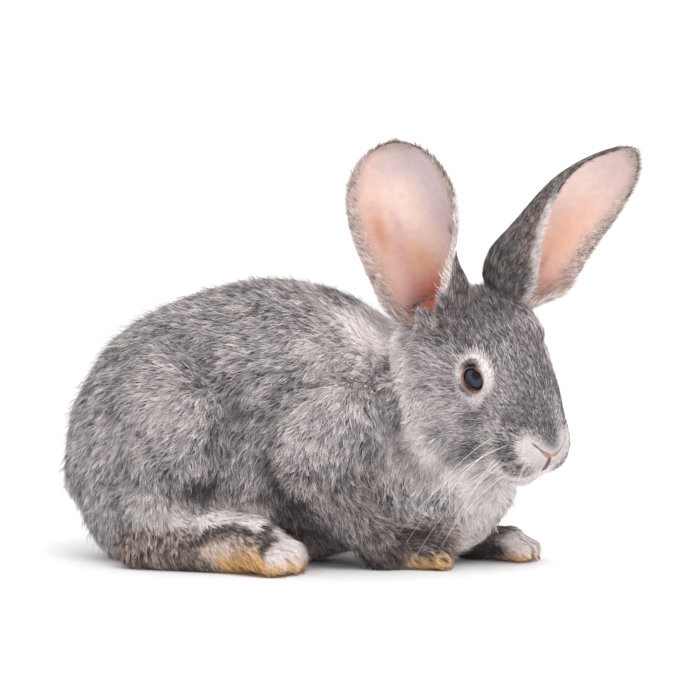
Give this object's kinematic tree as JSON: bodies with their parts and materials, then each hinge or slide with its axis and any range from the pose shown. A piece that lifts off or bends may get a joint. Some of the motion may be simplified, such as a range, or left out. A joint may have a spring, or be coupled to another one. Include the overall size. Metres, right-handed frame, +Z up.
{
  "type": "young grey domestic rabbit, crouching",
  "caption": "Life-size still model of a grey domestic rabbit, crouching with its head turned aside and its long ears up.",
  "frame": {"origin": "on the floor, under the middle of the rabbit's bounding box", "axes": "+X towards the rabbit's front, +Y to its left, +Z up"},
  "size_m": [0.3508, 0.185, 0.2493],
  "materials": {
    "grey_coat": "short dense silver-grey fur with dark and pale tips",
    "pale_coat": "short soft near-white fur",
    "foot_coat": "very short dense fur, stained yellow at the toes",
    "ear": "thin pink skin inside, very short grey fur outside",
    "eye": "wet dark brown eye"
  },
  "bodies": {
    "root": {"ear_left": "ear", "ear_right": "ear", "eye_left": "eye", "eye_right": "eye", "forearm_left": "grey_coat", "forearm_right": "grey_coat", "forepaw_left": "foot_coat", "forepaw_right": "foot_coat", "head": "grey_coat", "hind_foot_left": "foot_coat", "hind_foot_right": "foot_coat", "lower_jaw": "pale_coat", "neck": "grey_coat", "shank_left": "grey_coat", "shank_right": "grey_coat", "tail": "pale_coat", "thigh_left": "grey_coat", "thigh_right": "grey_coat", "torso": "grey_coat", "upper_arm_left": "grey_coat", "upper_arm_right": "grey_coat"}
  },
  "joints": []
}
